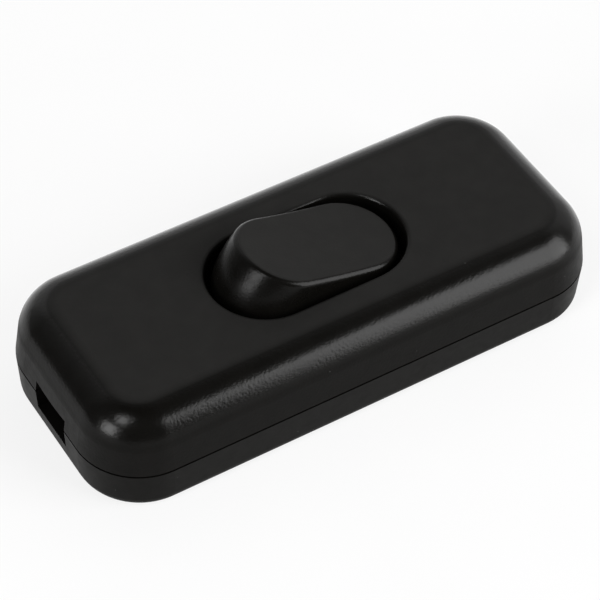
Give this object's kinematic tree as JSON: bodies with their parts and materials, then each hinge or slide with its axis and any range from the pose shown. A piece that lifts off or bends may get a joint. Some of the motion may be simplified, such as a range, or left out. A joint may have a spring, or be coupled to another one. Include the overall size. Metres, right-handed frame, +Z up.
{
  "type": "inline cord switch",
  "caption": "Slim rounded in-line rocker switch for a flat flex: two-part black moulded case with a slotted cord inlet at each end and a tilting rocker on top.",
  "frame": {"origin": "centre of the underside of the case", "axes": "+X along the flex, towards the end of the rocker that is pressed at rest; +Z up out of the rocker"},
  "size_m": [0.067, 0.0288, 0.0177],
  "materials": {
    "case_plastic": "satin black moulding with a fine even grain",
    "rocker_plastic": "satin black moulding, a little smoother than the case",
    "clamp_plastic": "matt dark moulding",
    "plunger_nylon": "natural nylon",
    "brass": "stamped and tumbled",
    "contact_silver": "silver alloy",
    "plated_steel": "zinc plated",
    "spring_steel": "drawn wire"
  },
  "bodies": {
    "case": {"base_shell": "case_plastic", "top_cover": "case_plastic", "housing_screws": "plated_steel", "common_strip": "brass", "contact_strip": "brass", "fixed_contact": "contact_silver", "common_wire_clamp": "plated_steel", "contact_wire_clamp": "plated_steel", "terminal_screws": "plated_steel", "neutral_connector": "brass", "neutral_screws": "plated_steel", "left_cord_clamp": "clamp_plastic", "right_cord_clamp": "clamp_plastic", "clamp_screws": "plated_steel"},
    "rocker": {"rocker": "rocker_plastic", "plunger_spring": "spring_steel"},
    "plunger": {"plunger": "plunger_nylon"},
    "blade": {"contact_blade": "brass", "moving_contact": "contact_silver"}
  },
  "joints": [
    {"name": "rocker_tilt", "type": "hinge", "parent": "case", "child": "rocker", "pos_m": [0, 0, 0.0098], "axis": [0, -1, 0], "range_deg": [0, 29]},
    {"name": "blade_tilt", "type": "hinge", "parent": "case", "child": "blade", "pos_m": [0, 0, 0.0035], "axis": [0, -1, 0], "range_deg": [-16, 0]},
    {"name": "plunger_press", "type": "slide", "parent": "rocker", "child": "plunger", "axis": [0.2504, 0, 0.9681], "range_m": [0, 0.0005], "stiffness_N_per_m": 800, "deforming": ["plunger_spring"]}
  ],
  "couplings": [
    {"joint": "blade_tilt", "follows": "rocker_tilt", "ratio": -0.5517}
  ]
}
